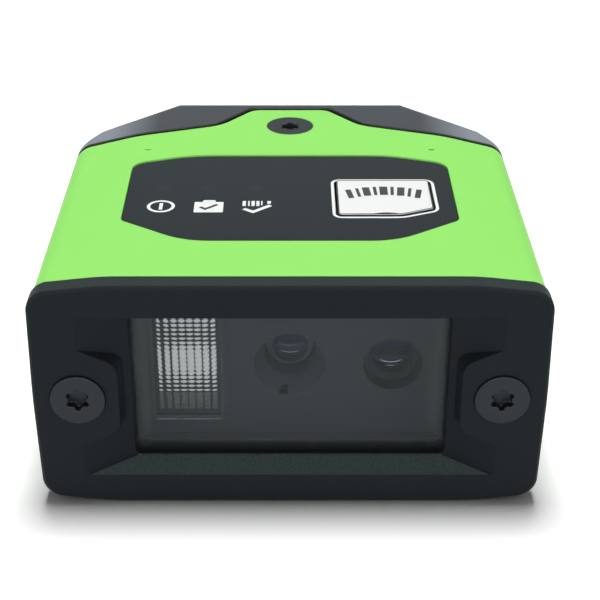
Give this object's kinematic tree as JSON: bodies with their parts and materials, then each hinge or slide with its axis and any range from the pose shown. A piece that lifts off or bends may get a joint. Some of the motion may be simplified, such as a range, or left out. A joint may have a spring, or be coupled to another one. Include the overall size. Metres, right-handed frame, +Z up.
{
  "type": "fixed barcode reader",
  "caption": "Compact fixed barcode reader: green cover with control panel and trigger key, dark bezel round a clear window, rear connectors",
  "frame": {"origin": "middle of the footprint, connectors and screw heads included, on the underside", "axes": "+Z up, -Y towards the front with the window, +Y towards the rear with the connectors, +X to the right in the picture's view"},
  "size_m": [0.058, 0.0674, 0.0288],
  "materials": {
    "bezel_plastic": "fine matt",
    "cover_green": "satin",
    "housing_slate": "painted, satin",
    "screw_dark": "dark passivated",
    "seal_black": "matt",
    "window_clear": "polished",
    "panel_film": "matt film",
    "key_white": "satin",
    "switch_cream": "matt",
    "black_plastic": "matt",
    "chassis_grey": "matt",
    "lens_clear": "polished",
    "lens_coated": "coated",
    "lens_black": "black anodised",
    "board_green": "solder mask",
    "led_cream": "satin",
    "ribbon_white": "satin",
    "sensor_blue": "polished",
    "pad_grey": "soft",
    "nickel": "plated",
    "screw_zinc": "plated",
    "brass": "machined",
    "gold": "plated"
  },
  "bodies": {
    "body": {"front_bezel": "bezel_plastic", "front_screws": "screw_dark", "front_seal": "seal_black", "window_gasket": "seal_black", "front_window": "window_clear", "main_housing": "housing_slate", "mount_inserts": "brass", "top_cover": "cover_green", "cover_seal": "seal_black", "cover_screw": "screw_dark", "control_panel": "panel_film", "switch_base": "black_plastic", "light_pipes": "lens_clear", "status_leds": "led_cream", "panel_board": "board_green", "panel_screws": "screw_zinc", "panel_ribbon": "ribbon_white", "optical_chassis": "chassis_grey", "illumination_lens": "lens_clear", "illumination_leds": "led_cream", "led_board": "board_green", "lens_barrel": "lens_black", "lens_glass": "lens_coated", "lens_holder": "black_plastic", "image_sensor": "sensor_blue", "sensor_board": "board_green", "sensor_ribbon": "ribbon_white", "aimer_body": "black_plastic", "aimer_lens": "lens_coated", "aimer_emitter": "gold", "aimer_board": "board_green", "main_board": "board_green", "board_screws": "screw_zinc", "processor": "black_plastic", "heat_pad": "pad_grey", "io_board": "board_green", "io_shell": "nickel", "io_insert": "black_plastic", "io_pins": "gold", "io_seal": "seal_black", "io_nut": "nickel", "port_shell": "nickel", "port_tongue": "black_plastic"},
    "trigger": {"trigger_key": "key_white", "switch_plunger": "switch_cream"}
  },
  "joints": [
    {"name": "trigger_press", "type": "slide", "parent": "body", "child": "trigger", "axis": [0, 0, -1], "range_m": [0, 0.0004], "stiffness_N_per_m": 4000}
  ]
}
